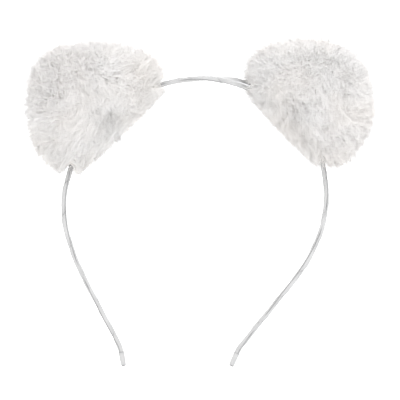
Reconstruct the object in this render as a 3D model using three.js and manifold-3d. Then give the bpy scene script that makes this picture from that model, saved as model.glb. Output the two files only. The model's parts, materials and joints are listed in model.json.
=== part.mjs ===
// Animal ears headband: a spring-steel strip wound with satin ribbon, which carries two stuffed
// ears of long-haired plush. Millimetres, +Z up, +Y to the back of the head. Left and right are
// as seen from the front, with +X to the right. The origin is the middle of the crown's inner
// face.
import * as THREE from "three";
import { mergeVertices } from "three/addons/utils/BufferGeometryUtils.js";
import Module from "manifold-3d";

const wasm = await Module();
wasm.setup();

// ---- driving dimensions ----

const CLEARANCE = 0.3; // between pieces that touch
const HINGE_GAP = 0.6; // between lengths of band that turn against each other

const CORE_WIDTH = 4; // steel strip, front to back
const CORE_THICKNESS = 0.8;
const RIBBON_BUILD = 0.5; // thickness of the ribbon wound on the strip
const RIBBON_CORNER = 0.8; // rounding of the wound band's long edges
const CROWN_FLAT = 5; // level length at the middle of the crown
const CAP_LENGTH = 7; // folded ribbon glued over each tip
const CAP_END = 0.9; // its thickness past the end of the strip
const BAND_STEP = 5; // longest facet along the band

const CROWN_RADIUS = 70;
const TIP_RADIUS = 14;
const LEFT_SIDE = {
  crownAngle: 66.5,
  shoulderRadius: 52.5,
  shoulderAngle: 40,
  hipRadius: 125,
  hipAngle: 11.5,
  legLength: 32,
  tipAngle: 17.5,
  tipLength: 7.5,
};
const RIGHT_SIDE = {
  crownAngle: 14,
  shoulderRadius: 57,
  shoulderAngle: 96.5,
  hipRadius: 77.5,
  hipAngle: 18.5,
  legLength: 41,
  tipAngle: 15,
  tipLength: 7.5,
};

// Each ear's pattern: a rounded polygon in the ear's own frame. middle and halfSpan are the ear's
// length of band, from the middle of the crown. The base runs past the lower and upper ends of
// that length by basePast. The other corners are shares of the width, from the lower end to the
// upper one, and of the height out from the base.
const LEFT_EAR = {
  side: -1,
  middle: 53,
  halfSpan: 29.5,
  basePast: [-1.29, 0.26],
  width: 62,
  height: 43,
  corners: [[-0.49, 0.42], [-0.145, 1], [0.08, 0.99], [0.51, 0.4]],
};
const RIGHT_EAR = {
  side: 1,
  middle: 49.5,
  halfSpan: 24,
  basePast: [0.78, 0.19],
  width: 59,
  height: 40.5,
  corners: [[-0.48, 0.46], [-0.18, 0.99], [0.145, 1], [0.52, 0.4]],
};

const PANEL_DEPTH = 9; // from the ear's middle plane to the crown of each fabric panel
const BACKING_THICKNESS = 0.8; // knitted cloth that the pile stands on
const PILE_LENGTH = 9; // fur past the cloth, all round but at the base
const BASE_PILE = 6; // fur past the base, where it lies flatter
const BASE_ROUNDING = 12; // how far the base corners' rounding runs along the base
const FUR_PARTING = 3; // room in the fur for the band to flex

const THREAD_RADIUS = 0.3;
const SEAM_END_HEIGHT = 6; // how far above the base the edge seam starts and ends
const CLOSING_LENGTH = 34; // hand stitching along the base
const CLOSING_STITCHES = 9;
const STITCH_REACH = 1.5; // half the width that a closing stitch spans

const GLUE_START = 0.8; // from the end of the ear's length of band
const GLUE_LENGTH = 4.6;
const GLUE_BUILD = 1.1; // thickness of the glue collar round the band

const DOME_SIDES = 28;
const DOME_RINGS = 10;
const DOME_FULLNESS = 0.8; // below 1, the domes are fuller than an ellipsoid

// ---- sizes that follow ----

const RIBBON_WIDTH = CORE_WIDTH + 2 * (CLEARANCE + RIBBON_BUILD);
const RIBBON_THICKNESS = CORE_THICKNESS + 2 * (CLEARANCE + RIBBON_BUILD);

// Puts the flat facet of the crown's inner face at z = 0.
const HALF_FLAT_ANGLE = CROWN_FLAT / 2 / CROWN_RADIUS;
const CROWN_HEIGHT =
  CROWN_RADIUS - (CROWN_RADIUS - RIBBON_THICKNESS / 2) * Math.cos(HALF_FLAT_ANGLE);

// ---- materials ----

const steel = new THREE.MeshStandardMaterial({ color: 0xb4b6b8, roughness: 0.35, metalness: 1 });
const satin = new THREE.MeshStandardMaterial({ color: 0xd3d3d5, roughness: 0.38, metalness: 0 });
const fur = new THREE.MeshStandardMaterial({ color: 0xf1eeec, roughness: 0.95, metalness: 0 });
const knit = new THREE.MeshStandardMaterial({ color: 0xe4e0dc, roughness: 0.9, metalness: 0 });
const filling = new THREE.MeshStandardMaterial({ color: 0xf6f6f4, roughness: 1, metalness: 0 });
const thread = new THREE.MeshStandardMaterial({ color: 0xe9e7e4, roughness: 0.7, metalness: 0 });
const glue = new THREE.MeshStandardMaterial({ color: 0xdfdcd2, roughness: 0.3, metalness: 0 });

// ---- solids ----

function solidOf(geometry) {
  const bare = geometry.clone();
  bare.deleteAttribute("normal");
  bare.deleteAttribute("uv");
  const merged = mergeVertices(bare, 1e-3);
  return new wasm.Manifold(
    new wasm.Mesh({
      numProp: 3,
      vertProperties: merged.attributes.position.array,
      triVerts: new Uint32Array(merged.index.array),
    }),
  );
}

// The largest body of a solid: cutting the fur back from the band leaves loose wisps, which go.
function mainBody(solid) {
  const bodies = solid.decompose();
  return bodies.reduce((best, body) => (body.volume() > best.volume() ? body : best));
}

function geometryOf(solid) {
  const mesh = solid.getMesh();
  const geometry = new THREE.BufferGeometry();
  geometry.setAttribute("position", new THREE.BufferAttribute(mesh.vertProperties, 3));
  geometry.setIndex(new THREE.BufferAttribute(mesh.triVerts, 1));
  geometry.computeVertexNormals();
  return geometry;
}

function named(name, geometry, material) {
  const mesh = new THREE.Mesh(geometry, material);
  mesh.name = name;
  return mesh;
}

// ---- the band's centre line ----

const arc = (radius, degrees) => ({
  length: radius * Math.abs(THREE.MathUtils.degToRad(degrees)),
  turn: THREE.MathUtils.degToRad(degrees),
});

const straight = (length) => ({ length, turn: 0 });

// The stretches of one side, from the middle of the crown to the tip. Each turns at a steady
// rate, in round the head; the last bend turns the tip back out.
function stretchesOf(side) {
  return [
    arc(CROWN_RADIUS, side.crownAngle),
    arc(side.shoulderRadius, side.shoulderAngle),
    arc(side.hipRadius, side.hipAngle),
    straight(side.legLength),
    arc(TIP_RADIUS, -side.tipAngle),
    straight(side.tipLength),
  ];
}

const STRETCHES = { left: stretchesOf(LEFT_SIDE), right: stretchesOf(RIGHT_SIDE) };

// The distances from the middle of the crown at which each stretch of a side ends.
function stretchEnds(stretches) {
  let reached = 0;
  return stretches.map(({ length }) => (reached += length));
}

const LEFT_CHANGES = stretchEnds(STRETCHES.left).map((distance) => -distance);
const RIGHT_CHANGES = stretchEnds(STRETCHES.right);
const LEFT_END = LEFT_CHANGES.at(-1);
const RIGHT_END = RIGHT_CHANGES.at(-1);
const BEND_CHANGES = [...LEFT_CHANGES, ...RIGHT_CHANGES].sort((a, b) => a - b);

// The centre line's place and direction at a distance along it from the middle of the crown,
// negative on the left.
function bandAt(distance) {
  const side = Math.sign(distance) || 1;
  const stretches = side < 0 ? STRETCHES.left : STRETCHES.right;
  let left = Math.abs(distance);
  let heading = 0;
  let x = 0;
  let z = CROWN_HEIGHT;
  stretches.forEach(({ length, turn }, i) => {
    const last = i === stretches.length - 1;
    const run = last ? left : Math.min(left, length);
    const bend = turn / length;
    const next = heading + bend * run;
    x += turn ? (Math.sin(next) - Math.sin(heading)) / bend : run * Math.cos(heading);
    z += turn ? (Math.cos(next) - Math.cos(heading)) / bend : -run * Math.sin(heading);
    heading = next;
    left -= run;
  });
  return {
    point: new THREE.Vector3(side * x, 0, z),
    tangent: new THREE.Vector3(Math.cos(heading), 0, -side * Math.sin(heading)),
  };
}

// A length of the band as a curve. Its steps fall at the given distances, and a section swept
// along it has its first axis to the back and its second out from the head.
class BandRun extends THREE.Curve {
  constructor(distances) {
    super();
    this.distances = distances;
  }

  distanceAt(t) {
    const place = t * (this.distances.length - 1);
    const i = Math.min(Math.floor(place), this.distances.length - 2);
    return THREE.MathUtils.lerp(this.distances[i], this.distances[i + 1], place - i);
  }

  getPoint(t, target = new THREE.Vector3()) {
    return target.copy(bandAt(this.distanceAt(t)).point);
  }

  getPointAt(t, target) {
    return this.getPoint(t, target);
  }

  computeFrenetFrames(segments) {
    const frames = { tangents: [], normals: [], binormals: [] };
    for (let i = 0; i <= segments; i++) {
      const { tangent } = bandAt(this.distanceAt(i / segments));
      const back = new THREE.Vector3(0, 1, 0);
      frames.tangents.push(tangent);
      frames.normals.push(back);
      frames.binormals.push(tangent.clone().cross(back));
    }
    return frames;
  }
}

// Evenly spaced distances from one end to the other, no more than a step apart.
function evenly(from, to) {
  const count = Math.max(1, Math.ceil((to - from) / BAND_STEP));
  return Array.from({ length: count + 1 }, (_, i) => from + ((to - from) * i) / count);
}

// Distances for a run of the band, with a step at each place where its bend changes.
function stepsBetween(from, to) {
  const ends = [from, ...BEND_CHANGES.filter((change) => change > from && change < to), to];
  return ends.slice(1).flatMap((end, i) => evenly(ends[i], end).slice(i ? 1 : 0));
}

function sweepBand(section, distances) {
  return new THREE.ExtrudeGeometry(section, {
    steps: distances.length - 1,
    curveSegments: 2,
    extrudePath: new BandRun(distances),
  });
}

// ---- sections ----

function rectangle(width, thickness) {
  const [x, y] = [width / 2, thickness / 2];
  return new THREE.Shape().moveTo(-x, -y).lineTo(x, -y).lineTo(x, y).lineTo(-x, y).closePath();
}

function roundedRectangle(width, thickness, corner) {
  const [x, y] = [width / 2, thickness / 2];
  return new THREE.Shape()
    .moveTo(corner - x, -y)
    .lineTo(x - corner, -y)
    .quadraticCurveTo(x, -y, x, corner - y)
    .lineTo(x, y - corner)
    .quadraticCurveTo(x, y, x - corner, y)
    .lineTo(corner - x, y)
    .quadraticCurveTo(-x, y, -x, y - corner)
    .lineTo(-x, corner - y)
    .quadraticCurveTo(-x, -y, corner - x, -y);
}

const coreSection = () => rectangle(CORE_WIDTH, CORE_THICKNESS);

// The wound ribbon, with room inside for the strip, and any outer build over the ribbon.
function sleeveSection(outer, inner) {
  const section = roundedRectangle(
    RIBBON_WIDTH + 2 * outer,
    RIBBON_THICKNESS + 2 * outer,
    RIBBON_CORNER + outer,
  );
  section.holes.push(inner);
  return section;
}

const ribbonSection = () =>
  sleeveSection(0, rectangle(CORE_WIDTH + 2 * CLEARANCE, CORE_THICKNESS + 2 * CLEARANCE));

const glueSection = () =>
  sleeveSection(
    GLUE_BUILD,
    roundedRectangle(
      RIBBON_WIDTH + 2 * CLEARANCE,
      RIBBON_THICKNESS + 2 * CLEARANCE,
      RIBBON_CORNER + CLEARANCE,
    ),
  );

// ---- the ears' frames and outlines ----

// The ends of an ear's length of band: the upper one nearer the crown, then the lower one.
const earEnds = (ear) => [
  ear.side * (ear.middle - ear.halfSpan),
  ear.side * (ear.middle + ear.halfSpan),
];

// X runs along the base to the right on both ears, and Z points out from the base.
function earMatrix(ear) {
  const [upper, lower] = earEnds(ear).map((distance) => bandAt(distance).point);
  const along = upper.clone().sub(lower).multiplyScalar(-ear.side).normalize();
  const back = new THREE.Vector3(0, 1, 0);
  const outward = along.clone().cross(back);
  return new THREE.Matrix4()
    .makeBasis(along, back, outward)
    .setPosition(upper.clone().add(lower).divideScalar(2));
}

// The pattern's corners in the ear's frame, clockwise from the low end of the base.
function patternCorners(ear) {
  const [pastLower, pastUpper] = ear.basePast;
  const corners = [
    [-ear.halfSpan - pastLower, 0],
    ...ear.corners.map(([along, out]) => [along * ear.width, out * ear.height]),
    [ear.halfSpan + pastUpper, 0],
  ].map(([along, out]) => new THREE.Vector2(-ear.side * along, out));
  return ear.side < 0 ? corners : corners.reverse();
}

// Moves every edge of a clockwise polygon outwards, its last edge by the amount for the base.
function grown(corners, amount, baseAmount) {
  const edges = corners.map((start, i) => {
    const along = corners[(i + 1) % corners.length].clone().sub(start).normalize();
    const out = new THREE.Vector2(-along.y, along.x);
    const shift = i === corners.length - 1 ? baseAmount : amount;
    return { start: start.clone().addScaledVector(out, shift), along };
  });
  return edges.map((edge, i) => {
    const before = edges[(i + edges.length - 1) % edges.length];
    const across = before.along.cross(edge.along);
    const run = edge.start.clone().sub(before.start).cross(edge.along) / across;
    return before.start.clone().addScaledVector(before.along, run);
  });
}

// A smooth outline: each corner is a curve that starts half-way along its edges, or at most
// the base rounding away along the base.
function roundedOutline(corners, baseRounding) {
  const outline = new THREE.Shape();
  corners.forEach((corner, i) => {
    const before = corners[(i + corners.length - 1) % corners.length];
    const after = corners[(i + 1) % corners.length];
    const half = (other, isBase) => {
      const length = corner.distanceTo(other) / 2;
      const run = isBase ? Math.min(baseRounding, length) : length;
      return corner.clone().lerp(other, run / (2 * length));
    };
    const from = half(before, i === 0);
    const to = half(after, i === corners.length - 1);
    if (i === 0) outline.moveTo(from.x, from.y);
    else outline.lineTo(from.x, from.y);
    outline.quadraticCurveTo(corner.x, corner.y, to.x, to.y);
  });
  outline.closePath();
  return outline;
}

const outlineOf = (ear, amount, baseAmount) =>
  roundedOutline(grown(patternCorners(ear), amount, baseAmount), BASE_ROUNDING + amount / 2);

// ---- domes: solids that are full in the middle and meet their outline edge on ----

// A sphere's rings become smaller copies of the outline, and its poles lie front and back.
function dome(outline, depth) {
  const geometry = new THREE.SphereGeometry(1, DOME_SIDES, DOME_RINGS);
  const rim = outline.getSpacedPoints(DOME_SIDES);
  const middle = rim.reduce((sum, p) => sum.add(p), new THREE.Vector2()).divideScalar(rim.length);
  const position = geometry.attributes.position;
  for (let i = 0; i < position.count; i++) {
    const edge = rim[i % (DOME_SIDES + 1)];
    const angle = (Math.floor(i / (DOME_SIDES + 1)) / DOME_RINGS) * Math.PI;
    const spread = Math.sin(angle) ** DOME_FULLNESS;
    const rise = Math.sign(Math.cos(angle)) * Math.abs(Math.cos(angle)) ** DOME_FULLNESS;
    position.setXYZ(
      i,
      THREE.MathUtils.lerp(middle.x, edge.x, spread),
      depth * rise,
      THREE.MathUtils.lerp(middle.y, edge.y, spread),
    );
  }
  return solidOf(geometry);
}

// The points of a dome's rim, and those half-way along its facets.
function facetPoints(outline) {
  const rim = outline.getSpacedPoints(DOME_SIDES);
  return rim.slice(1).flatMap((point, i) => [rim[i].clone().lerp(point, 0.5), point]);
}

// Half of space, in front of the seam plane or behind it, leaving the seam's gap.
function halfSpace(facing) {
  const size = 400;
  const box = new THREE.BoxGeometry(size, size, size);
  box.translate(0, facing * (size / 2 + CLEARANCE / 2), 0);
  return solidOf(box);
}

// ---- what is cut out of the ears ----

// The space of a swept section, grown by a margin, in an ear's frame.
function bandSpace(ear, from, to, marginAcross, marginOut) {
  const section = rectangle(
    RIBBON_WIDTH + 2 * marginAcross,
    RIBBON_THICKNESS + 2 * marginOut,
  );
  const geometry = sweepBand(section, stepsBetween(Math.min(from, to), Math.max(from, to)));
  return solidOf(geometry.applyMatrix4(earMatrix(ear).invert()));
}

// The band's way through an ear. Past the ear's own length of band, the fur is parted wider so
// that the neighbouring lengths can flex.
function bandTunnel(ear) {
  const [upper, lower] = earEnds(ear);
  const reach = 2 * PILE_LENGTH;
  const overlap = 1;
  const within = bandSpace(ear, upper, lower, CLEARANCE, CLEARANCE);
  const above = bandSpace(
    ear,
    upper - ear.side * reach,
    upper + ear.side * overlap,
    CLEARANCE,
    FUR_PARTING,
  );
  const below = bandSpace(
    ear,
    lower - ear.side * overlap,
    lower + ear.side * reach,
    CLEARANCE,
    FUR_PARTING,
  );
  return within.add(above).add(below);
}

// The two collars' lengths along the band, as from and to distances.
function glueSpans(ear) {
  const [upper, lower] = earEnds(ear);
  const inward = (end, direction, run) => end + direction * ear.side * run;
  return [
    [inward(upper, 1, GLUE_START), inward(upper, 1, GLUE_START + GLUE_LENGTH)],
    [inward(lower, -1, GLUE_START), inward(lower, -1, GLUE_START + GLUE_LENGTH)],
  ].map(([a, b]) => [Math.min(a, b), Math.max(a, b)]);
}

function glueSpaces(ear) {
  const margin = GLUE_BUILD + CLEARANCE;
  return glueSpans(ear).map(([from, to]) =>
    bandSpace(ear, from - CLEARANCE, to + CLEARANCE, margin, margin),
  );
}

const cutAway = (solid, cutters) => cutters.reduce((rest, cutter) => rest.subtract(cutter), solid);

// The closing stitches' room in the glue, where they are long enough to reach it.
function stitchRoom() {
  const reach = THREAD_RADIUS + CLEARANCE;
  const width = 2 * (STITCH_REACH + reach);
  const box = new THREE.BoxGeometry(CLOSING_LENGTH + 2 * reach, width, 2 * reach);
  box.translate(0, 0, -reach);
  return solidOf(box);
}

// The slot in the fur that the closing stitches lie in, just below the base.
function closingSlot() {
  const drop = 2 * (THREAD_RADIUS + CLEARANCE);
  const reach = 2 * (STITCH_REACH + THREAD_RADIUS + CLEARANCE);
  const box = new THREE.BoxGeometry(CLOSING_LENGTH + reach, reach, drop + CLEARANCE);
  box.translate(0, 0, -(drop + CLEARANCE) / 2 + CLEARANCE / 2);
  return solidOf(box);
}

// ---- the ears' pieces ----

function panelDome(ear, inset) {
  return dome(outlineOf(ear, -inset, -inset), PANEL_DEPTH - inset);
}

function pileDome(ear) {
  return dome(outlineOf(ear, PILE_LENGTH, BASE_PILE), PANEL_DEPTH + PILE_LENGTH);
}

function backing(ear, facing, cutters) {
  const shell = panelDome(ear, 0).subtract(panelDome(ear, BACKING_THICKNESS));
  return geometryOf(mainBody(cutAway(shell.intersect(halfSpace(facing)), cutters)));
}

function pile(ear, facing, cutters) {
  const shell = pileDome(ear).subtract(panelDome(ear, -CLEARANCE));
  return geometryOf(mainBody(cutAway(shell.intersect(halfSpace(facing)), cutters)));
}

// The filling stands off the cloth at the edge, where the seam's thread runs.
function fill(ear, cutters) {
  const inset = BACKING_THICKNESS + 2 * CLEARANCE + 2 * THREAD_RADIUS;
  const pad = dome(
    outlineOf(ear, -inset, -inset),
    PANEL_DEPTH - BACKING_THICKNESS - CLEARANCE,
  );
  return geometryOf(mainBody(cutAway(pad, cutters)));
}

function threadAlong(points, steps) {
  const section = new THREE.Shape().absarc(0, 0, THREAD_RADIUS, 0, 2 * Math.PI);
  return new THREE.ExtrudeGeometry(section, {
    steps,
    curveSegments: 3,
    extrudePath: new THREE.CatmullRomCurve3(points),
  });
}

// The machine seam that joins the two panels, round all but the base. It follows the facets of
// the cloth that it runs inside.
function edgeSeam(ear) {
  const inset = BACKING_THICKNESS + CLEARANCE + THREAD_RADIUS;
  const points = facetPoints(outlineOf(ear, -inset, -inset))
    .filter((p) => p.y > SEAM_END_HEIGHT)
    .map((p) => new THREE.Vector3(p.x, 0, p.y));
  return threadAlong(points, points.length - 1);
}

// The hand stitches that close the base, one thread from side to side along it.
function closingStitches() {
  const drop = CLEARANCE + THREAD_RADIUS;
  const points = Array.from({ length: 2 * CLOSING_STITCHES + 1 }, (_, i) => {
    const along = (i / (2 * CLOSING_STITCHES) - 0.5) * CLOSING_LENGTH;
    const across = i % 2 ? STITCH_REACH : -STITCH_REACH;
    return new THREE.Vector3(along, across, -drop);
  });
  return threadAlong(points, 3 * (points.length - 1));
}

function glueCollars(ear) {
  const room = stitchRoom().transform(earMatrix(ear).elements);
  return glueSpans(ear).map((span) =>
    geometryOf(solidOf(sweepBand(glueSection(), span)).subtract(room)),
  );
}

// One ear's pieces, in a group that stands in the ear's frame.
function earGroup(name, ear) {
  const group = new THREE.Group();
  earMatrix(ear).decompose(group.position, group.quaternion, group.scale);
  const cutters = [bandTunnel(ear), ...glueSpaces(ear)];
  const furCutters = [...cutters, closingSlot()];
  group.add(
    named(name + "_front_backing", backing(ear, -1, cutters), knit),
    named(name + "_back_backing", backing(ear, 1, cutters), knit),
    named(name + "_front_pile", pile(ear, -1, furCutters), fur),
    named(name + "_back_pile", pile(ear, 1, furCutters), fur),
    named(name + "_fill", fill(ear, cutters), filling),
    named(name + "_edge_seam_thread", edgeSeam(ear), thread),
    named(name + "_closing_thread", closingStitches(), thread),
  );
  return group;
}

// ---- the band's pieces ----

// A length of strip and of the ribbon round it.
function bandLength(name, distances) {
  return [
    named(name + "_core", sweepBand(coreSection(), distances), steel),
    named(name + "_ribbon", sweepBand(ribbonSection(), distances), satin),
  ];
}

// The crown's steps are set out so that one of them is its flat middle.
function crownDistances() {
  const left = earEnds(LEFT_EAR)[0] + HINGE_GAP / 2;
  const right = earEnds(RIGHT_EAR)[0] - HINGE_GAP / 2;
  return [...stepsBetween(left, -CROWN_FLAT / 2), ...stepsBetween(CROWN_FLAT / 2, right)];
}

function earDistances(ear) {
  const [upper, lower] = earEnds(ear);
  return stepsBetween(
    Math.min(upper, lower) + HINGE_GAP / 2,
    Math.max(upper, lower) - HINGE_GAP / 2,
  );
}

// The steps of a leg, from the ear to the end of its strip or of its ribbon.
function legDistances(ear, end, short) {
  const start = earEnds(ear)[1] + (ear.side * HINGE_GAP) / 2;
  const stop = end - ear.side * short;
  return stepsBetween(Math.min(start, stop), Math.max(start, stop));
}

// The folded ribbon over a tip: a short sleeve round the strip, closed at its end.
function tipCap(ear, end) {
  const length = [end - ear.side * CAP_LENGTH, end];
  const hollow = [end - ear.side * (CAP_LENGTH + 1), end - ear.side * CAP_END];
  const sorted = (pair) => pair.sort((a, b) => a - b);
  const outside = roundedRectangle(RIBBON_WIDTH, RIBBON_THICKNESS, RIBBON_CORNER);
  const inside = rectangle(CORE_WIDTH + 2 * CLEARANCE, CORE_THICKNESS + 2 * CLEARANCE);
  const block = solidOf(sweepBand(outside, sorted(length)));
  return geometryOf(block.subtract(solidOf(sweepBand(inside, sorted(hollow)))));
}

function legPieces(name, ear, end) {
  const coreEnd = CAP_END + CLEARANCE;
  const ribbonEnd = CAP_LENGTH + CLEARANCE;
  return [
    named(name + "_core", sweepBand(coreSection(), legDistances(ear, end, coreEnd)), steel),
    named(name + "_ribbon", sweepBand(ribbonSection(), legDistances(ear, end, ribbonEnd)), satin),
    named(name + "_tip_cap", tipCap(ear, end), satin),
  ];
}

function gluePieces(name, ear) {
  const [upper, lower] = glueCollars(ear);
  return [named(name + "_upper_glue", upper, glue), named(name + "_lower_glue", lower, glue)];
}

// ---- the whole headband ----

const headband = new THREE.Group();
headband.add(
  ...bandLength("crown", crownDistances()),
  ...bandLength("left_ear_band", earDistances(LEFT_EAR)),
  ...bandLength("right_ear_band", earDistances(RIGHT_EAR)),
  ...legPieces("left_leg", LEFT_EAR, LEFT_END),
  ...legPieces("right_leg", RIGHT_EAR, RIGHT_END),
  ...gluePieces("left_ear", LEFT_EAR),
  ...gluePieces("right_ear", RIGHT_EAR),
  earGroup("left_ear", LEFT_EAR),
  earGroup("right_ear", RIGHT_EAR),
);

export default headband;
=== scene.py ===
import json
import math

import bmesh
import bpy
import numpy as np
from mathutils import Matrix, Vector, kdtree


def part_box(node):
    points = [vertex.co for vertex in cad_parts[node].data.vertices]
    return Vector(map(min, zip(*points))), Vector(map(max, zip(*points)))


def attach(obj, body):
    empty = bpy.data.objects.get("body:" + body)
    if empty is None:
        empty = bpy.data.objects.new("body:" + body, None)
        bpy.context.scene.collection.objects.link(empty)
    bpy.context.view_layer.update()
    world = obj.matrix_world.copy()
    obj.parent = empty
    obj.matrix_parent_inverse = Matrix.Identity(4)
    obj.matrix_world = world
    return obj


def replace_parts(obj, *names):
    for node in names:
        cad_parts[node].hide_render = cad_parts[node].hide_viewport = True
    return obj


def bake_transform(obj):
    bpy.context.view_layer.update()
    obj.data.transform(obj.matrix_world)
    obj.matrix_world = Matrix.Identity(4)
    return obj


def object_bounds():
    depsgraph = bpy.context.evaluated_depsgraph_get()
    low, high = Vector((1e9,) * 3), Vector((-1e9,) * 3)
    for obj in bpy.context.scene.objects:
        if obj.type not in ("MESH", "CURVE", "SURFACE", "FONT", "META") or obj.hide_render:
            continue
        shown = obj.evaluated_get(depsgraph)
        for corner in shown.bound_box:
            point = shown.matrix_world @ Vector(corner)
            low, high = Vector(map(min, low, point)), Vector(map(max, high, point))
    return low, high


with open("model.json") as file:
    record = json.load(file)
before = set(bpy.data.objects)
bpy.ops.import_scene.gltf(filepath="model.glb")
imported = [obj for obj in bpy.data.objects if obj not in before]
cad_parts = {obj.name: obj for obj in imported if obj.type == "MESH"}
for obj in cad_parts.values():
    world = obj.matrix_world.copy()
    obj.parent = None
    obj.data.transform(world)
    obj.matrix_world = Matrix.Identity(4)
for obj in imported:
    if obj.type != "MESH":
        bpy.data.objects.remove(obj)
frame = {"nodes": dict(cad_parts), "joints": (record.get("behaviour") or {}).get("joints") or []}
cad_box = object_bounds()
nodes = frame["nodes"]
joint_places = {joint["name"]: np.array(joint["pos_m"]) for joint in frame["joints"]}
rng = np.random.default_rng(7)

# ---- sizes, in metres ----

HEAD_MIDDLE = -0.06  # height of a point that the whole band goes round
NEAREST_STEPS = 4

RIBBON_WIDTH = 0.0056  # the wound band, front to back
RIBBON_THICKNESS = 0.0024
RIBBON_CORNER = 0.0009
RIBBON_PITCH = 0.016  # along the band, from one overlap to the next
OVERLAP_STEP = 0.00028  # height of an overlap's edge
OVERLAP_RUN = 0.04  # of the pitch, over which an edge falls
RIBBON_ROWS = 14  # rows of the mesh in one pitch
SECTION_SIDES = 36
LEG_PHASE = 0.2  # share of a pitch by which the legs' overlaps are moved on
CROWN_PHASE = 0.45
WRINKLE_HEIGHT = 0.00005
WRINKLE_HALF_WAVES = 9  # in one pitch
WRINKLE_SLANT = 40  # radians, once round the band
MERGE_REACH = 2e-6  # points nearer to each other than this are made one
FLAT_EDGE = 1e-6

RIBBON_SEAM = 0.00005  # between two lengths of ribbon that meet over a hinge
BEND_REACH = 0.002  # distance back from a hinge to a point that is found but not used; nothing bends the ribbon

CAP_LIP = 0.00018  # the tip's folded ribbon over the wound one
CAP_UNDERLAP = 0.0015  # how far the wound ribbon runs on under it
CAP_SHADED_ENDS = 0.1  # share of the fold's length, at each end, painted dark as shade
CAP_TONE = 0.6  # of the fold's middle, in the satin's colours
CAP_WIDENING = 3  # times less growth across than out
# Shares of the fold's length, and its thickness there for 1 of the wound ribbon's.
CAP_PROFILE = [
    (0.0, 1.0),
    (0.02, 1 + 2 * CAP_LIP / RIBBON_THICKNESS),
    (0.3, 1.14),
    (0.6, 1.1),
    (0.85, 1.04),
    (0.94, 0.96),
    (0.985, 0.82),
    (1.0, 0.6),
]

CREASE_WANDER = 0.0008  # the lengthwise fold's way to and fro across a narrow side
CREASE_START = 0.05  # from the left tip, where it crosses the middle
CREASE_LENGTH = 0.0191  # along the band, while the fold wanders by a radian
CREASE_REACH = 0.00014
CREASE_DEPTH = 0.00012
LAP_STEP = 0.0001  # how far the fold's outer side stands proud
LAP_SHARPNESS = 3
LAP_ENDS = 9  # crease reaches from the fold, where the lap's rise is complete

TWIST_START = -0.001  # where the crown starts to turn on itself, from its middle
TWIST = 0.78  # radians at the right ear, with the band's front edge down
UNTWIST_LENGTH = 0.014  # inside that ear

CLOTH_THICKNESS = 0.0008
CLOTH_GAP = 0.0004  # between the cloth and the filling
DOME_FULLNESS = 0.8
OUTLINE_STEPS = 180
OUTLINE_SMOOTHING = 11  # steps, an odd number
LEAST_FACING = 0.05  # cosine from which an outline's support counts in a direction
PANEL_RINGS = 22
PANEL_SIDES = 96
TUNNEL_PAST = 0.02  # how far the cutter for the band runs on past an ear
TUNNEL_ROWS = 90
BAND_ROOM = 0.0005  # round the band, in the cloth and in the fur
FLEX_ROOM = 0.34  # more of it for the fur, for each metre past the ear's ends

TUFTS = 520  # on one panel
STRANDS = 12000  # in one coat of one panel
STRAND_STEPS = 4  # points along a strand
STRAND_TAPER = (0.9, 1.0, 0.75)  # share of its width at each of them but the last, its tip
STRAND_LIFT = 0.6  # height of the point that bends a strand, as a share of its tip's
EVEN_SHARE = 0.68  # of the strands, spread evenly; the rest stand towards the rim
SOFT_NORMAL = 0.92  # how far a strand's shading follows the whole coat's

# Each coat's name, strand width, least and greatest height as a share of the pile, scatter
# and clumping.
COATS = [
    ("undercoat", 0.0005, 0.66, 0.94, 0.1, 0.04),
    ("midcoat", 0.00024, 0.8, 1.1, 0.055, 0.12),
    ("topcoat", 0.00015, 0.95, 1.42, 0.055, 0.22),
]
COMB_OUT = -0.16  # of a tip's reach from the middle, less towards the rim
LAY = (-0.02, -0.14)  # the way that gravity draws the tips, in the panel's disc
SWIRL_WAVES = (3.5, 5.5, 8.5)  # radians across half the disc
SWIRL = 0.34  # a wave's size, before it is divided by its radians
RIM_LAY = 0.1  # how much of the lay and swirl is left at the rim
TUFT_STRAY = 0.08
STRAY_REACH = 1.15  # less a tuft's distance from the disc's middle, its room to stray
EVEN_TUFTS = 0.03  # how far a tuft's height strays from the pile's
RAGGED_BASE = {"left": 0.17, "right": 0.08}  # the same, along the base by the band
SHORTEST, TALLEST = -1, 0.7  # a tuft's height within that

PARTING_DEPTH = 0.007  # how far into an ear the fur is parted by the band
PARTING_SPREAD = 0.0045
PARTINGS = {"left": {"upper": 0.0016, "lower": 0.0028}, "right": {"upper": 0.0008, "lower": 0.001}}

GLUE_SIZE = (0.0082, 0.005)  # a collar's width and thickness
GLUE_CORNER = 0.0018
GLUE_LUMPS = 0.00025
GLUE_REACH = 0.003  # a collar's surface from its middle, for the lumps
GLUE_ROUND = (31, 12.6)  # the lumps' two waves, in radians once round a collar
GLUE_ALONG = (5, 9)  # and in radians along it
GLUE_ENDS = 0.3  # how much smaller a collar's ends are
GLUE_SQUARENESS = 6
GLUE_ROWS = 12
GLUE_SIDES = 32

FRAME_WIDTH = 0.196  # what the camera takes in, at the headband
FRAME_CENTRE = (-0.0018, -0.0583)
CAMERA_DISTANCE = 1.6
CAMERA_SIGHT = 20
SENSOR = 36  # millimetres

FLOOR_SIZE = 6
FLOOR_GAP = 0.0006  # below the lowest tip
STUDIO_LIGHT = 1.62  # strength of the light from all round
# Each lamp's name, place, size and power.
LAMPS = [
    ("key", (0.4, -0.9, 1.1), 0.9, 7),
    ("front", (0.2, -1.5, 0.15), 0.5, 3),
    ("back", (0.3, 1.5, 0.5), 1.0, 7),
]


# ---- materials ----


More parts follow.
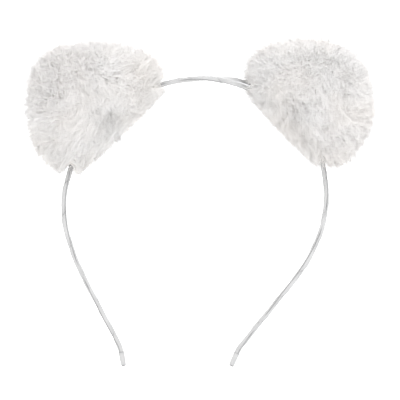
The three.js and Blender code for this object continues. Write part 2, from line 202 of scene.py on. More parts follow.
class Finish:
    """A procedural material, built up from a Principled shader."""

    def __init__(self, name, **values):
        self.material = bpy.data.materials.new(name)
        self.material.use_nodes = True
        self.tree = self.material.node_tree
        self.shader = self.tree.nodes["Principled BSDF"]
        for socket, value in values.items():
            self.shader.inputs[socket.replace("_", " ")].default_value = value
        self.place = self.node("ShaderNodeTexCoord").outputs["Object"]

    def node(self, kind, **settings):
        made = self.tree.nodes.new(kind)
        for name, value in settings.items():
            setattr(made, name, value)
        return made

    def link(self, start, end):
        self.tree.links.new(start, end)

    def noise(self, scale, detail=3, stretch=(1, 1, 1)):
        mapping = self.node("ShaderNodeMapping")
        mapping.inputs["Scale"].default_value = stretch
        texture = self.node("ShaderNodeTexNoise")
        texture.inputs["Scale"].default_value = scale
        texture.inputs["Detail"].default_value = detail
        self.link(self.place, mapping.inputs["Vector"])
        self.link(mapping.outputs["Vector"], texture.inputs["Vector"])
        return texture.outputs["Fac"]

    def attribute(self, name):
        return self.node("ShaderNodeAttribute", attribute_name=name).outputs["Fac"]

    def waves(self, scale, direction, distortion=0):
        texture = self.node("ShaderNodeTexWave", bands_direction=direction)
        texture.inputs["Scale"].default_value = scale
        texture.inputs["Distortion"].default_value = distortion
        self.link(self.place, texture.inputs["Vector"])
        return texture.outputs["Fac"]

    def ramp(self, value, *stops):
        ramp = self.node("ShaderNodeValToRGB")
        elements = ramp.color_ramp.elements
        while len(elements) < len(stops):
            elements.new(0.5)
        for element, (position, colour) in zip(elements, stops):
            element.position = position
            element.color = (*colour, 1)
        self.link(value, ramp.inputs["Fac"])
        return ramp.outputs["Color"]

    def multiply(self, first, second):
        mix = self.node("ShaderNodeMix", data_type="RGBA", blend_type="MULTIPLY")
        mix.inputs["Factor"].default_value = 1
        self.link(first, mix.inputs["A"])
        self.link(second, mix.inputs["B"])
        return mix.outputs["Result"]

    def range(self, value, low, high):
        spread = self.node("ShaderNodeMapRange")
        spread.inputs["To Min"].default_value = low
        spread.inputs["To Max"].default_value = high
        self.link(value, spread.inputs["Value"])
        return spread.outputs["Result"]

    def colour(self, value):
        self.link(value, self.shader.inputs["Base Color"])

    def roughness(self, value):
        self.link(value, self.shader.inputs["Roughness"])

    def bump(self, value, distance, strength=1.0):
        bump = self.node("ShaderNodeBump")
        bump.inputs["Distance"].default_value = distance
        bump.inputs["Strength"].default_value = strength
        self.link(value, bump.inputs["Height"])
        self.link(bump.outputs["Normal"], self.shader.inputs["Normal"])


def satin():
    finish = Finish("satin_ribbon", Sheen_Weight=0.2, Sheen_Roughness=0.4)
    # Colour across each turn: dark just past an overlap's edge, painted shade under the turn that
    # laps over it; the rest is the satin's own grey.
    turn_tone_and_shade = finish.ramp(
        finish.attribute("turn_tone_and_shade"),
        (0.0, (0.17, 0.17, 0.172)),
        (0.045, (0.35, 0.35, 0.352)),
        (0.5, (0.4, 0.4, 0.402)),
        (1.0, (0.37, 0.37, 0.372)),
    )
    mottle = finish.ramp(
        finish.noise(220, 4), (0.3, (0.92, 0.92, 0.92)), (0.7, (1, 1, 1))
    )
    # Painted shade: a dark line along the lengthwise fold on the narrow sides.
    crease_shade = finish.ramp(
        finish.attribute("crease_shade"), (0.0, (1, 1, 1)), (1.0, (0.3, 0.3, 0.305))
    )
    wound = finish.multiply(turn_tone_and_shade, mottle)
    finish.colour(finish.multiply(wound, crease_shade))
    finish.roughness(finish.range(finish.noise(500), 0.34, 0.5))
    finish.bump(finish.waves(2600, "DIAGONAL", 1.5), 0.00004, 0.5)
    return finish.material


def fur():
    finish = Finish(
        "plush_fur",
        Roughness=0.95,
        Specular_IOR_Level=0.1,
        Subsurface_Weight=0.1,
        Subsurface_Radius=(1, 1, 1),
        Subsurface_Scale=0.002,
    )
    # Darker and warmer towards the root: the fibres' warm tone, with painted shade deep in the
    # pile.
    along = finish.ramp(
        finish.attribute("along"),
        (0.0, (0.95, 0.92, 0.89)),
        (0.5, (0.975, 0.96, 0.945)),
        (1.0, (0.985, 0.98, 0.973)),
    )
    patches = finish.ramp(
        finish.noise(45, 3), (0.35, (0.98, 0.962, 0.945)), (0.65, (1, 1, 1))
    )
    strand = finish.ramp(
        finish.attribute("tone"), (0.0, (0.98, 0.978, 0.975)), (0.4, (1, 1, 1))
    )
    patched = finish.multiply(along, patches)
    finish.colour(finish.multiply(patched, strand))
    return finish.material


def knit():
    finish = Finish("knit_backing", Roughness=0.95, Sheen_Weight=0.2)
    finish.colour(
        finish.ramp(
            finish.noise(900, 2), (0.3, (0.76, 0.72, 0.68)), (0.7, (0.88, 0.86, 0.83))
        )
    )
    finish.bump(finish.waves(1400, "DIAGONAL", 2), 0.0001)
    return finish.material


def filling():
    finish = Finish("fibre_fill", Roughness=1.0, Sheen_Weight=0.3)
    finish.colour(
        finish.ramp(finish.noise(700, 5), (0.3, (0.84, 0.84, 0.83)), (0.7, (0.94, 0.94, 0.93)))
    )
    finish.bump(finish.noise(1500, 5), 0.0002)
    return finish.material


def sewing_thread():
    finish = Finish("sewing_thread", Roughness=0.7, Sheen_Weight=0.3)
    finish.colour(
        finish.ramp(finish.noise(1500), (0.3, (0.74, 0.72, 0.7)), (0.7, (0.88, 0.87, 0.85)))
    )
    finish.bump(finish.waves(2500, "DIAGONAL"), 0.00008)
    return finish.material


def hot_glue():
    finish = Finish("hot_melt_glue", Subsurface_Weight=0.2, Subsurface_Scale=0.001)
    finish.colour(
        finish.ramp(finish.noise(600, 3), (0.35, (0.5, 0.47, 0.42)), (0.65, (0.68, 0.66, 0.6)))
    )
    finish.roughness(finish.range(finish.noise(900), 0.25, 0.5))
    return finish.material


def spring_steel():
    finish = Finish("spring_steel", Metallic=1.0)
    finish.colour(
        finish.ramp(finish.noise(300), (0.3, (0.42, 0.42, 0.43)), (0.7, (0.55, 0.55, 0.56)))
    )
    finish.roughness(finish.range(finish.noise(900, 2, (1, 12, 1)), 0.3, 0.5))
    return finish.material


SATIN = satin()
FUR = fur()
KNIT = knit()
FILLING = filling()
THREAD = sewing_thread()
GLUE = hot_glue()
STEEL = spring_steel()


# ---- meshes ----


def piece(name, mesh, material, body):
    """A smooth piece, which rides on a body if one is given."""
    mesh.materials.append(material)
    mesh.polygons.foreach_set("use_smooth", np.ones(len(mesh.polygons), bool))
    obj = bpy.data.objects.new(name, mesh)
    bpy.context.scene.collection.objects.link(obj)
    if body:
        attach(obj, body)
    return obj


def mesh_of(name, rows, faces):
    mesh = bpy.data.meshes.new(name)
    mesh.from_pydata(np.vstack(rows).tolist(), [], faces)
    return mesh


def mesh_of_triangles(name, points, triangles):
    """The quick way to a mesh of very many triangles."""
    mesh = bpy.data.meshes.new(name)
    mesh.vertices.add(len(points))
    mesh.vertices.foreach_set("co", points.ravel())
    mesh.loops.add(triangles.size)
    mesh.loops.foreach_set("vertex_index", triangles.ravel())
    mesh.polygons.add(len(triangles))
    mesh.polygons.foreach_set("loop_start", np.arange(0, triangles.size, 3))
    mesh.update(calc_edges=True)
    return mesh


def tidy_mesh(obj):
    """Merges what has come together, closes open ends and turns all faces outwards."""
    mesh = bmesh.new()
    mesh.from_mesh(obj.data)
    bmesh.ops.remove_doubles(mesh, verts=mesh.verts, dist=MERGE_REACH)
    bmesh.ops.dissolve_degenerate(mesh, edges=mesh.edges, dist=FLAT_EDGE)
    loose = [edge for edge in mesh.edges if not edge.link_faces]
    bmesh.ops.delete(mesh, geom=loose, context="EDGES")
    open_edges = [edge for edge in mesh.edges if edge.is_boundary]
    bmesh.ops.holes_fill(mesh, edges=open_edges, sides=0)
    bmesh.ops.recalc_face_normals(mesh, faces=mesh.faces)
    mesh.to_mesh(obj.data)
    mesh.free()


def store(obj, name, values):
    """Keeps a number for each vertex, which a material reads."""
    layer = obj.data.attributes.new(name, "FLOAT", "POINT")
    layer.data.foreach_set("value", np.asarray(values, np.float32))


def corners_of(node):
    found = np.array([vertex.co for vertex in nodes[node].data.vertices])
    return found.reshape(-1, 3)


def repaint(node, material):
    slots = nodes[node].data.materials
    slots.clear()
    slots.append(material)


def smooth(way):
    return way * way * (3 - 2 * way)


def unit(vectors):
    return vectors / np.linalg.norm(vectors, axis=-1, keepdims=True)


# ---- the band's centre line, from the strip's sections ----


def stations(node):
    """The middle and the outward direction of each section of a length of strip."""
    places = corners_of(node)
    front = np.unique(np.round(places[places[:, 1] < 0][:, [0, 2]], 6), axis=0)
    apart = np.linalg.norm(front[:, None] - front[None], axis=2)
    np.fill_diagonal(apart, np.inf)
    other = front[apart.argmin(axis=1)]
    middles = (front + other) / 2
    outwards = (front - other) / np.linalg.norm(front - other, axis=1)[:, None]
    from_head = middles - (0, HEAD_MIDDLE)
    keep = (outwards * from_head).sum(axis=1) > 0
    return middles[keep], outwards[keep]


class Band:
    """The band's smooth centre line, by distance from the left tip."""

    CORES = ("left_leg", "left_ear_band", "crown", "right_ear_band", "right_leg")

    def __init__(self):
        found = [stations(name + "_core") for name in self.CORES]
        middles = np.vstack([middle for middle, _ in found])
        outwards = np.vstack([outward for _, outward in found])
        turn = np.arctan2(middles[:, 0], middles[:, 1] - HEAD_MIDDLE)
        order = np.argsort(turn)
        self.turns = turn[order]
        self.middles, self.outwards = middles[order], outwards[order]
        steps = np.linalg.norm(np.diff(self.middles, axis=0), axis=1)
        self.marks = np.concatenate([[0], np.cumsum(steps)])

    def tangents(self, outwards):
        return np.stack([outwards[:, 1], -outwards[:, 0]], axis=1)

    def at(self, distance):
        """Middle points and outward directions, past the ends on straight lines."""
        distance = np.asarray(distance, float)
        before = np.searchsorted(self.marks, distance) - 1
        before = np.clip(before, 0, len(self.marks) - 2)
        length = (self.marks[before + 1] - self.marks[before])[:, None]
        share = ((distance - self.marks[before])[:, None]) / length
        start, end = self.middles[before], self.middles[before + 1]
        start_way = self.tangents(self.outwards[before]) * length
        end_way = self.tangents(self.outwards[before + 1]) * length
        inside = np.clip(share, 0, 1)
        cube, square = inside**3, inside**2
        middle = (
            (2 * cube - 3 * square + 1) * start
            + (cube - 2 * square + inside) * start_way
            + (3 * square - 2 * cube) * end
            + (cube - square) * end_way
        )
        middle += np.where(share < 0, share, 0) * start_way
        middle += np.where(share > 1, share - 1, 0) * end_way
        outward = (1 - inside) * self.outwards[before] + inside * self.outwards[before + 1]
        return middle, outward / np.linalg.norm(outward, axis=1)[:, None]

    def place(self, distance, across, out):
        """Points in space, from distances along, across to the back and out of the band."""
        middle, outward = self.at(distance)
        flat = middle + outward * np.asarray(out)[:, None]
        return np.stack([flat[:, 0], np.asarray(across) + 0 * flat[:, 0], flat[:, 1]], axis=1)

    def locate(self, points):
        """The distances along the band that lie nearest to points in space, the band's
        outward direction there, and how far out from its middle the points are."""
        flat = points[:, [0, 2]]
        turn = np.arctan2(flat[:, 0], flat[:, 1] - HEAD_MIDDLE)
        distance = np.interp(turn, self.turns, self.marks)
        for _ in range(NEAREST_STEPS):
            middle, outward = self.at(distance)
            distance = distance + ((flat - middle) * self.tangents(outward)).sum(axis=1)
        middle, outward = self.at(distance)
        return distance, outward, ((flat - middle) * outward).sum(axis=1)

    def nearest(self, points):
        return self.locate(points)[0]

    def twist(self, distance):
        """The band turns on itself up to the right ear, and back again inside it."""
        start = self.nearest(np.array([[TWIST_START, 0.0, 0.0]]))[0]
        peak = self.nearest(joint_places["right_shoulder_flex"][None])[0]
        rising = np.clip((distance - start) / (peak - start), 0, 1)
        falling = np.clip((distance - peak) / UNTWIST_LENGTH, 0, 1)
        return TWIST * (smooth(rising) - smooth(falling))

    def span(self, node):
        found = self.nearest(corners_of(node))
        return found.min(), found.max()


band = Band()


# ---- the band's ribbon, tips and glue ----


def section(width, thickness, corner, sides):
    """Points round a rounded rectangle, as across and out, with each one's share of the way."""
    right, top = width / 2 - corner, thickness / 2 - corner
    quarter = np.linspace(0, math.pi / 2, sides // 4)
    rounds = [(right, top, 0), (-right, top, 1), (-right, -top, 2), (right, -top, 3)]
    points = np.vstack(
        [
            np.stack(
                [
                    x + corner * np.cos(quarter + turns * math.pi / 2),
                    y + corner * np.sin(quarter + turns * math.pi / 2),
                ],
                axis=1,
            )
            for x, y, turns in rounds
        ]
    )
    steps = np.linalg.norm(np.diff(np.vstack([points, points[:1]]), axis=0), axis=1)
    return points, np.concatenate([[0], np.cumsum(steps)[:-1]]) / steps.sum()


def loft_faces(rows):
    """Quads between rows of a closed section, and a flat end on the first and last row."""
    sides = len(rows[0])
    row, side = np.meshgrid(np.arange(len(rows) - 1), np.arange(sides), indexing="ij")
    after = (side + 1) % sides
    low, high = row * sides, (row + 1) * sides
    quads = np.stack([low + side, low + after, high + after, high + side], axis=2)
    last = (len(rows) - 1) * sides
    ends = [list(range(sides))[::-1], list(range(last, last + sides))]
    return quads.reshape(-1, 4).tolist() + ends


def lofted(name, rows, material, body):
    """A closed piece with a skin over rows of points."""
    obj = piece(name, mesh_of(name, rows, loft_faces(rows)), material, body)
    tidy_mesh(obj)
    return obj


def lengthwise_fold(outline, distance):
    """The lengthwise fold along both narrow sides, whose line the material paints dark as shade,
    and the side of it that laps over the other.
    """
    on_side = abs(outline[:, 0]) > RIBBON_WIDTH / 2 - RIBBON_CORNER / 2
    place = -CREASE_WANDER * np.sin((distance - CREASE_START) / CREASE_LENGTH)
    off = (outline[None, :, 1] - place) / CREASE_REACH
    lap_off = np.clip(off, -LAP_ENDS, LAP_ENDS)
    return on_side * np.exp(-(off**2)), on_side / (1 + np.exp(-LAP_SHARPNESS * lap_off))


def wound_ribbon(name, start, end, body, phase=0.0):
    """Ribbon wound round the strip. The surface rises over each pitch and drops at the next
    turn's edge, and its rows are slanted so that the edges run along them."""
    outline, share = section(RIBBON_WIDTH, RIBBON_THICKNESS, RIBBON_CORNER, SECTION_SIDES)
    sides = len(outline)
    turns = math.ceil((end - start) / RIBBON_PITCH) + 2
    fractions = np.append(
        np.linspace(0, 1 - OVERLAP_RUN, RIBBON_ROWS - 1), 1 - OVERLAP_RUN / 2
    )
    rows = (np.arange(turns)[:, None] + fractions[None]).ravel()
    slant = rows[:, None] + share[None] - 1 + phase
    distance = np.clip(start + RIBBON_PITCH * slant, start, end)
    at_turn = (distance - start) / RIBBON_PITCH - share[None] - phase
    within = at_turn - np.floor(at_turn)
    rise = OVERLAP_STEP * np.minimum(within, (1 - within) * (1 - OVERLAP_RUN) / OVERLAP_RUN)
    ripple = WRINKLE_HALF_WAVES * within * math.pi + WRINKLE_SLANT * share[None]
    wrinkle = WRINKLE_HEIGHT * np.sin(ripple)
    grown = rise + wrinkle - OVERLAP_STEP / 2
    fold, lap = lengthwise_fold(outline, distance)
    sideways = grown + LAP_STEP * lap - CREASE_DEPTH * fold
    across = outline[None, :, 0] * (1 + sideways / (RIBBON_WIDTH / 2))
    out = outline[None, :, 1] * (1 + grown / (RIBBON_THICKNESS / 2))
    turn = band.twist(distance)
    turned_across = across * np.cos(turn) - out * np.sin(turn)
    turned_out = across * np.sin(turn) + out * np.cos(turn)
    points = band.place(distance.ravel(), turned_across.ravel(), turned_out.ravel())
    faces = []
    for side in range(sides):
        after, shift = (side + 1, 0) if side + 1 < sides else (0, RIBBON_ROWS)
        for row in range(len(rows) - 1 - shift):
            low, high = row * sides, (row + 1) * sides
            next_low, next_high = low + shift * sides, high + shift * sides
            faces.append([low + side, next_low + after, next_high + after, high + side])
    obj = piece(name, mesh_of(name, points, faces), SATIN, body)
    # Each point's share of its turn, which the material paints dark as shade just past an
    # overlap's edge.
    store(obj, "turn_tone_and_shade", within.ravel())
    # The fold's line, which the material paints dark as shade in the crease.
    store(obj, "crease_shade", fold.ravel())
    tidy_mesh(obj)
    return obj


def tip_cap(name, node, body, sign):
    """A fold of ribbon glued over a tip: a lip, a soft pinch before it, and a rounded end."""
    low, high = band.span(node)
    start, end = (high, low) if sign < 0 else (low, high)
    outline, _ = section(RIBBON_WIDTH, RIBBON_THICKNESS, RIBBON_CORNER, SECTION_SIDES)
    rows = []
    for share, size in CAP_PROFILE:
        distance = np.full(len(outline), start + share * (end - start))
        across = outline[:, 0] * (1 + (size - 1) / CAP_WIDENING)
        rows.append(band.place(distance, across, outline[:, 1] * size))
    obj = lofted(name, rows, SATIN, body)
    places = np.array([vertex.co for vertex in obj.data.vertices])
    share = (band.nearest(places) - start) / (end - start)
    # Both ends of the fold are painted dark, as shade at the lip and at the rounded end.
    edge = (share < CAP_SHADED_ENDS) | (share > 1 - CAP_SHADED_ENDS)
    store(obj, "turn_tone_and_shade", np.where(edge, 0.0, CAP_TONE))
    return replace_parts(obj, node)


def glue_bead(name, node, body):
    """A collar of glue with an uneven surface and rounded ends."""
    low, high = band.span(node)
    outline, share = section(*GLUE_SIZE, GLUE_CORNER, GLUE_SIDES)
    rows = []
    for way in np.linspace(0, 1, GLUE_ROWS):
        distance = np.full(len(outline), low + way * (high - low))
        first = np.sin(share * GLUE_ROUND[0] + way * GLUE_ALONG[0])
        second = np.sin(share * GLUE_ROUND[1] - way * GLUE_ALONG[1])
        end = GLUE_ENDS * abs(2 * way - 1) ** GLUE_SQUARENESS
        size = 1 + GLUE_LUMPS * (first * second) / GLUE_REACH - end
        rows.append(band.place(distance, outline[:, 0] * size, outline[:, 1] * size))
    obj = lofted(name, rows, GLUE, body)
    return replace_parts(obj, node)


# ---- the ears ----


def tunnel(ear):
    """The band's and the glue's room through an ear, as a solid to cut with."""
    beads = [band.span(f"{ear.side}_ear_{end}_glue") for end in ("upper", "lower")]
    low, high = band.span(ear.side + "_ear_band_ribbon")
    distances = np.linspace(low - TUNNEL_PAST, high + TUNNEL_PAST, TUNNEL_ROWS)
    rows = []
    for distance in distances:
        in_bead = any(start - BAND_ROOM < distance < end + BAND_ROOM for start, end in beads)
        width, thickness = GLUE_SIZE if in_bead else (RIBBON_WIDTH, RIBBON_THICKNESS)
        outline, _ = section(
            width + 2 * BAND_ROOM, thickness + 2 * BAND_ROOM, RIBBON_CORNER, SECTION_SIDES
        )
        turn = band.twist(np.array([distance]))
        across = outline[:, 0] * np.cos(turn) - outline[:, 1] * np.sin(turn)
        out = outline[:, 0] * np.sin(turn) + outline[:, 1] * np.cos(turn)
        rows.append(band.place(np.full(len(outline), distance), across, out))
    return bpy.data.objects.new("tunnel", mesh_of("tunnel", rows, loft_faces(rows)))


def cut_tunnel(obj, ear):
    cutter = tunnel(ear)
    bpy.context.scene.collection.objects.link(cutter)
    cut = obj.modifiers.new("tunnel", "BOOLEAN")
    cut.object = cutter
    cut.operation = "DIFFERENCE"
    cut.solver = "EXACT"
    shaped = obj.evaluated_get(bpy.context.evaluated_depsgraph_get())
    mesh = bpy.data.meshes.new_from_object(shaped)
    obj.modifiers.clear()
    obj.data = mesh
    bpy.data.objects.remove(cutter)


class Ear:
    """An ear's outlines in its own plane, from the CAD's cloth and pile."""

    def __init__(self, side):
        self.side = side
        cloth = corners_of(side + "_ear_front_backing")[:, [0, 2]]
        pile = corners_of(side + "_ear_front_pile")[:, [0, 2]]
        self.centre = (cloth.min(axis=0) + cloth.max(axis=0)) / 2
        self.angles = np.linspace(-math.pi, math.pi, OUTLINE_STEPS, endpoint=False)
        self.cloth_radius = self.radius(cloth)
        self.pile_radius = self.radius(pile)
        self.cloth_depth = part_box(side + "_ear_back_backing")[1].y
        self.pile_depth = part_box(side + "_ear_back_pile")[1].y
        upper = joint_places[side + "_shoulder_flex"][[0, 2]]
        lower = joint_places[side + "_leg_flex"][[0, 2]]
        self.outward = unit(self.centre - (upper + lower) / 2)

    def radius(self, places):
        """How far the outline lies from the centre, at each of the ear's angles."""
        reach = np.stack([np.cos(self.angles), np.sin(self.angles)], axis=1)
        support = ((places - self.centre) @ reach.T).max(axis=0)
        turn = self.angles[:, None] - self.angles[None]
        facing = np.cos(turn)
        reached = support[None] / np.maximum(facing, LEAST_FACING)
        limits = np.where(facing > LEAST_FACING, reached, np.inf)
        found = limits.min(axis=1)
        weights = np.hanning(OUTLINE_SMOOTHING)
        kernel = weights / weights.sum()
        half = OUTLINE_SMOOTHING // 2
        wrapped = np.concatenate([found[-half:], found, found[:half]])
        return np.convolve(wrapped, kernel, "valid")

    def soft_normal(self, places):
        """The way that the whole coat faces at points on it."""
        size = np.array([self.pile_radius.mean(), self.pile_depth, self.pile_radius.mean()])
        middle = np.array([self.centre[0], 0, self.centre[1]])
        return unit((places - middle) / size**2)

    def dome(self, angle, slope, which, facing, inset=0.0):
        """Points on the cloth's or the pile's dome. The slope is 0 at its pole and
        a quarter turn at its rim."""
        radii, depth = {
            "cloth": (self.cloth_radius, self.cloth_depth),
            "pile": (self.pile_radius, self.pile_depth),
        }[which]
        turned = (angle + math.pi) % (2 * math.pi) - math.pi
        reach = np.interp(turned, self.angles, radii, period=2 * math.pi) - inset
        spread = np.sin(slope) ** DOME_FULLNESS * reach
        rise = np.abs(np.cos(slope)) ** DOME_FULLNESS * (depth - inset)
        return np.stack(
            [
                self.centre[0] + spread * np.cos(turned),
                facing * rise,
                self.centre[1] + spread * np.sin(turned),
            ],
            axis=-1,
        )


def half_dome(ear, facing, inset):
    """Rows of points on one side of the cloth's dome, from near its pole to its rim."""
    angles = np.linspace(-math.pi, math.pi, PANEL_SIDES, endpoint=False)
    slopes = np.linspace(0, math.pi / 2, PANEL_RINGS + 1)[1:]
    return [
        ear.dome(angles, np.full(PANEL_SIDES, slope), "cloth", facing, inset)
        for slope in slopes
    ]


def cloth_panel(ear, facing, name, node):
    """A panel of knitted cloth over the filling: a thin shell."""
    body = ear.side + "_ear"
    gap = np.array([0, facing * CLOTH_GAP / 2, 0])
    outer = [row + gap for row in half_dome(ear, facing, 0.0)]
    inner = [row + gap for row in half_dome(ear, facing, CLOTH_THICKNESS)]
    rows = outer + inner[::-1]
    obj = lofted(name, rows, KNIT, body)
    cut_tunnel(obj, ear)
    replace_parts(obj, node)
    return obj


def stuffing(ear):
    """The filling, a soft dome on each side of the seam."""
    inset = CLOTH_THICKNESS + CLOTH_GAP
    front = half_dome(ear, -1, inset)
    back = half_dome(ear, 1, inset)
    rows = front + back[:-1][::-1]
    body = ear.side + "_ear"
    obj = lofted(ear.side + "_ear_stuffing", rows, FILLING, body)
    cut_tunnel(obj, ear)
    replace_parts(obj, ear.side + "_ear_fill")
    return obj


# ---- fur ----
#
# A place on a panel is a point in a disc: its middle is the dome's pole, and its edge the rim.


def on_dome(ear, disc, which, facing):
    """Disc points on a dome. Those past the disc's edge come back on the dome's other side."""
    reach = np.linalg.norm(disc, axis=1)
    side = np.where(reach > 1, -facing, facing)
    reach = np.where(reach > 1, 2 - reach, reach)
    slope = np.arcsin(np.clip(reach, 0, 1) ** (1 / DOME_FULLNESS))
    return ear.dome(np.arctan2(disc[:, 1], disc[:, 0]), slope, which, side)


def between(ear, disc, facing, share):
    cloth = on_dome(ear, disc, "cloth", facing)
    pile = on_dome(ear, disc, "pile", facing)
    return cloth + (pile - cloth) * share[:, None]


def roots(count):
    """Disc points spread over a panel, with extra ones towards its rim."""
    angle = rng.uniform(-math.pi, math.pi, count)
    even = np.sqrt(rng.uniform(0, 1, count))
    steep = np.sin(rng.uniform(math.pi / 4, math.pi / 2, count)) ** DOME_FULLNESS
    reach = np.where(rng.uniform(0, 1, count) < EVEN_SHARE, even, steep)
    return reach[:, None] * np.stack([np.cos(angle), np.sin(angle)], axis=1)


def swirls():
    """The heading, length and phase of waves that lay the fur aside."""
    return [
        (rng.uniform(0, math.pi), radians, rng.uniform(0, 2 * math.pi))
        for radians in SWIRL_WAVES
    ]


def combed(disc, waves):
    """Where the tips lie. A wave moves them along its crests, so that it opens no gaps."""
    room = 1 - np.minimum(np.linalg.norm(disc, axis=1), 1)[:, None]
    aside = np.tile(np.array(LAY), (len(disc), 1))
    for heading, radians, phase in waves:
        way = disc @ np.array([math.cos(heading), math.sin(heading)])
        crest = np.array([-math.sin(heading), math.cos(heading)])
        aside += SWIRL / radians * np.sin(radians * way + phase)[:, None] * crest
    return disc * (1 + COMB_OUT * room) + aside * (RIM_LAY + room)


def tufts(ear):
    """Each tuft's root, how its tip strays from the comb, and its height."""
    root = roots(TUFTS)
    to_base = np.clip(-root @ ear.outward, 0, 1) ** 2
    ragged = EVEN_TUFTS + RAGGED_BASE[ear.side] * to_base
    room = STRAY_REACH - np.linalg.norm(root, axis=1) + ragged
    stray = rng.normal(0, TUFT_STRAY, (TUFTS, 2)) * room[:, None]
    return root, stray, 1 + ragged * rng.uniform(SHORTEST, TALLEST, TUFTS)


def parted(points, side, ear):
    """Points combed away from where the band comes out, each to its own side."""
    distance, outward, out = band.locate(points)
    low, high = band.span(ear.side + "_ear_band_ribbon")
    ends = {"left": ("lower", "upper"), "right": ("upper", "lower")}[ear.side]
    push = np.zeros(len(points))
    for end, inside in zip(ends, (distance - low, high - distance)):
        near = smooth(np.clip(1 - inside / PARTING_DEPTH, 0, 1))
        push += PARTINGS[ear.side][end] * near
    push *= side * np.exp(-((out / PARTING_SPREAD) ** 2))
    moved = points.copy()
    moved[:, [0, 2]] += outward * push[:, None]
    return moved


def strands(ear, facing, heights, scatter, clump, tuft_set, waves):
    """Root, control and tip points of one coat."""
    tuft_root, stray, tuft_height = tuft_set
    tree = kdtree.KDTree(TUFTS)
    for tuft, place in enumerate(on_dome(ear, tuft_root, "cloth", facing)):
        tree.insert(place, tuft)
    tree.balance()
    disc = roots(STRANDS)
    root = on_dome(ear, disc, "cloth", facing)
    own = np.array([tree.find(place)[1] for place in root])
    loose = combed(disc, waves) + stray[own] + rng.normal(0, scatter, disc.shape)
    gathered = combed(tuft_root, waves)[own] + stray[own]
    tip_disc = loose + (gathered - loose) * clump
    share = tuft_height[own] * rng.uniform(*heights, STRANDS)
    tip = between(ear, tip_disc, facing, share)
    lift = between(ear, disc, facing, share * STRAND_LIFT)
    side = np.where(band.locate(tip)[2] < 0, -1, 1)
    return root, parted(lift, side, ear), parted(tip, side, ear)


def off_the_band(points, ear):
    """Moves points out of the band, to whichever side of it they lie. Past the ear's ends
    the room for it grows, as it flexes there."""
    distance, outward, out = band.locate(points)
    low, high = band.span(ear.side + "_ear_band_ribbon")
    beyond = np.maximum(np.maximum(low - distance, distance - high), 0)
    room = BAND_ROOM + FLEX_ROOM * beyond
    half_width = RIBBON_WIDTH / 2 + room
    half_thickness = RIBBON_THICKNESS / 2 + room
    cos, sin = np.cos(band.twist(distance)), np.sin(band.twist(distance))
    wide = points[:, 1] * cos + out * sin
    thick = out * cos - points[:, 1] * sin
    inside = (abs(wide) < half_width) & (abs(thick) < half_thickness)
    shallow = half_width - abs(wide) < half_thickness - abs(thick)
    wide = np.where(inside & shallow, np.where(wide < 0, -half_width, half_width), wide)
    to_face = np.where(thick < 0, -half_thickness, half_thickness)
    thick = np.where(inside & ~shallow, to_face, thick)
    moved = points.copy()
    moved[:, 1] = wide * cos - thick * sin
    moved[:, [0, 2]] += outward * (wide * sin + thick * cos - out)[:, None]
    return moved


def strand_triangles():
    """One strand's triangles: three sides, a point and a closed root."""
    found = []
    for row in range(STRAND_STEPS - 2):
        for side in range(3):
            a, b = 3 * row + side, 3 * row + (side + 1) % 3
            found += [[a, b, b + 3], [a, b + 3, a + 3]]
    last = 3 * (STRAND_STEPS - 2)
    found += [[last + side, last + (side + 1) % 3, last + 3] for side in range(3)]
    return np.array(found + [[0, 2, 1]])


def strand_mesh(name, ear, curves, width, body):
    """Thin three-sided strands that taper to a point, all in one mesh."""
    root, lift, tip = curves
    count = len(root)
    way = np.linspace(0, 1, STRAND_STEPS)[None, :, None]
    line = (
        (1 - way) ** 2 * root[:, None]
        + 2 * way * (1 - way) * lift[:, None]
        + way**2 * tip[:, None]
    )
    line = off_the_band(line.reshape(-1, 3), ear).reshape(count, STRAND_STEPS, 3)
    axis = unit(tip - root)
    first = unit(np.cross(axis, rng.normal(0, 1, (count, 3))))
    second = np.cross(axis, first)
    turns = np.arange(3)[:, None] * 2 * math.pi / 3
    ring = first[:, None] * np.cos(turns) + second[:, None] * np.sin(turns)
    taper = width / 2 * np.array(STRAND_TAPER)[None, :, None, None]
    sides = line[:, :-1, None] + ring[:, None] * taper
    points = np.concatenate([sides.reshape(count, -1, 3), line[:, -1:]], axis=1)
    per_strand = points.shape[1]
    triangles = strand_triangles()[None] + (np.arange(count) * per_strand)[:, None, None]
    mesh = mesh_of_triangles(name, points.reshape(-1, 3), triangles.reshape(-1, 3))
    obj = piece(name, mesh, FUR, body)
    along = np.append(np.repeat(np.linspace(0, 1, STRAND_STEPS)[:-1], 3), 1)
    store(obj, "along", np.tile(along, count))
    store(obj, "tone", np.repeat(rng.uniform(0, 1, count), per_strand))
    own = np.concatenate(
        [np.tile(ring, (1, STRAND_STEPS - 1, 1)), axis[:, None]], axis=1
    )
    coat = ear.soft_normal(tip)[:, None]
    normals = unit(coat * SOFT_NORMAL + own * (1 - SOFT_NORMAL))
    obj.data.normals_split_custom_set_from_vertices(normals.reshape(-1, 3).tolist())
    return obj


def fur_coats(ear, facing, name):
    """The coats of one panel, short and thick below, long and fine on top."""
    tuft_set = tufts(ear)
    waves = swirls()
    coats = []
    for coat, width, low, high, scatter, clump in COATS:
        curves = strands(ear, facing, (low, high), scatter, clump, tuft_set, waves)
        coats.append(strand_mesh(f"{name}_{coat}", ear, curves, width, ear.side + "_ear"))
    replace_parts(coats[-1], name + "_pile")
    return coats


def dress_ear(side):
    ear = Ear(side)
    filling = stuffing(ear)
    for facing, word in ((-1, "front"), (1, "back")):
        name = f"{side}_ear_{word}"
        cloth = cloth_panel(ear, facing, name + "_cloth", name + "_backing")
        coats = fur_coats(ear, facing, name)
    for node in ("edge_seam_thread", "closing_thread"):
        repaint(f"{side}_ear_{node}", THREAD)
    for node in ("upper_glue", "lower_glue"):
        glue_bead(f"{side}_ear_{node}_bead", f"{side}_ear_{node}", side + "_ear")


# ---- the band's pieces ----


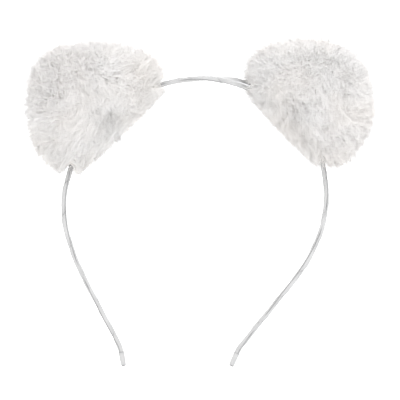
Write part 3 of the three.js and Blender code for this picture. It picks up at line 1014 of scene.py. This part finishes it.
def ribbon_over_hinge(name, far, near, meet, phase=0.0):
    """Ribbon from far to near, which runs on over a hinge to where the next length is met."""
    way = math.copysign(1, near - far)
    last = meet - way * RIBBON_SEAM
    obj = wound_ribbon(name, min(far, last), max(far, last), None, phase)
    bend = np.array([near - way * BEND_REACH, meet])
    start, end = band.place(bend, np.zeros(2), np.zeros(2))
    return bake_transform(obj)


def span_from_tip(node, sign):
    """A node's two ends along the band, the one nearer to its side's tip first."""
    low, high = band.span(node)
    return (low, high) if sign < 0 else (high, low)


def dress_side(side, sign):
    leg_body, ear_body = side + "_leg", side + "_ear"
    cap_end = span_from_tip(side + "_leg_tip_cap", sign)[1]
    leg_end = span_from_tip(side + "_leg_ribbon", sign)[1]
    inner_start, inner_end = span_from_tip(side + "_ear_band_ribbon", sign)
    crown_start = span_from_tip("crown_ribbon", sign)[0]
    winding = ribbon_over_hinge(
        side + "_leg_winding",
        cap_end + sign * CAP_UNDERLAP,
        leg_end,
        inner_start,
        LEG_PHASE,
    )
    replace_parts(winding, side + "_leg_ribbon")
    tip_cap(side + "_leg_tip_fold", side + "_leg_tip_cap", leg_body, sign)
    winding = ribbon_over_hinge(
        side + "_ear_band_winding",
        inner_start,
        inner_end,
        crown_start,
    )
    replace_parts(winding, side + "_ear_band_ribbon")


def dress_band():
    dress_side("left", -1)
    dress_side("right", 1)
    low, high = band.span("crown_ribbon")
    crown = wound_ribbon("crown_winding", low, high, "crown", CROWN_PHASE)
    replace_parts(crown, "crown_ribbon")
    for name in Band.CORES:
        repaint(name + "_core", STEEL)


# ---- floor, light and camera ----


def studio():
    bpy.ops.mesh.primitive_plane_add(size=FLOOR_SIZE)
    floor = bpy.context.object
    floor.name = "floor"
    floor.location.z = cad_box[0].z - FLOOR_GAP
    paper = bpy.data.materials.new("pale_floor")
    paper.use_nodes = True
    shader = paper.node_tree.nodes["Principled BSDF"]
    shader.inputs["Base Color"].default_value = (0.96, 0.96, 0.96, 1)
    shader.inputs["Roughness"].default_value = 0.9
    floor.data.materials.append(paper)
    world = bpy.data.worlds.new("studio")
    world.use_nodes = True
    background = world.node_tree.nodes["Background"]
    background.inputs["Color"].default_value = (1, 1, 1, 1)
    background.inputs["Strength"].default_value = STUDIO_LIGHT
    bpy.context.scene.world = world
    bpy.context.scene.view_settings.view_transform = "Standard"


def lamp(name, place, size, power):
    light = bpy.data.lights.new(name, "AREA")
    light.size = size
    light.energy = power
    obj = bpy.data.objects.new(name, light)
    obj.location = place
    aim = Vector((0, 0, FRAME_CENTRE[1])) - obj.location
    obj.rotation_euler = aim.to_track_quat("-Z", "Y").to_euler()
    bpy.context.scene.collection.objects.link(obj)


def camera():
    data = bpy.data.cameras.new("camera")
    data.sensor_width = SENSOR
    data.lens = SENSOR * CAMERA_DISTANCE / FRAME_WIDTH
    data.clip_end = CAMERA_SIGHT
    obj = bpy.data.objects.new("camera", data)
    obj.location = (FRAME_CENTRE[0], -CAMERA_DISTANCE, FRAME_CENTRE[1])
    obj.rotation_euler = (math.pi / 2, 0, 0)
    bpy.context.scene.collection.objects.link(obj)
    bpy.context.scene.camera = obj


dress_band()
dress_ear("left")
dress_ear("right")
studio()
for values in LAMPS:
    lamp(*values)
camera()
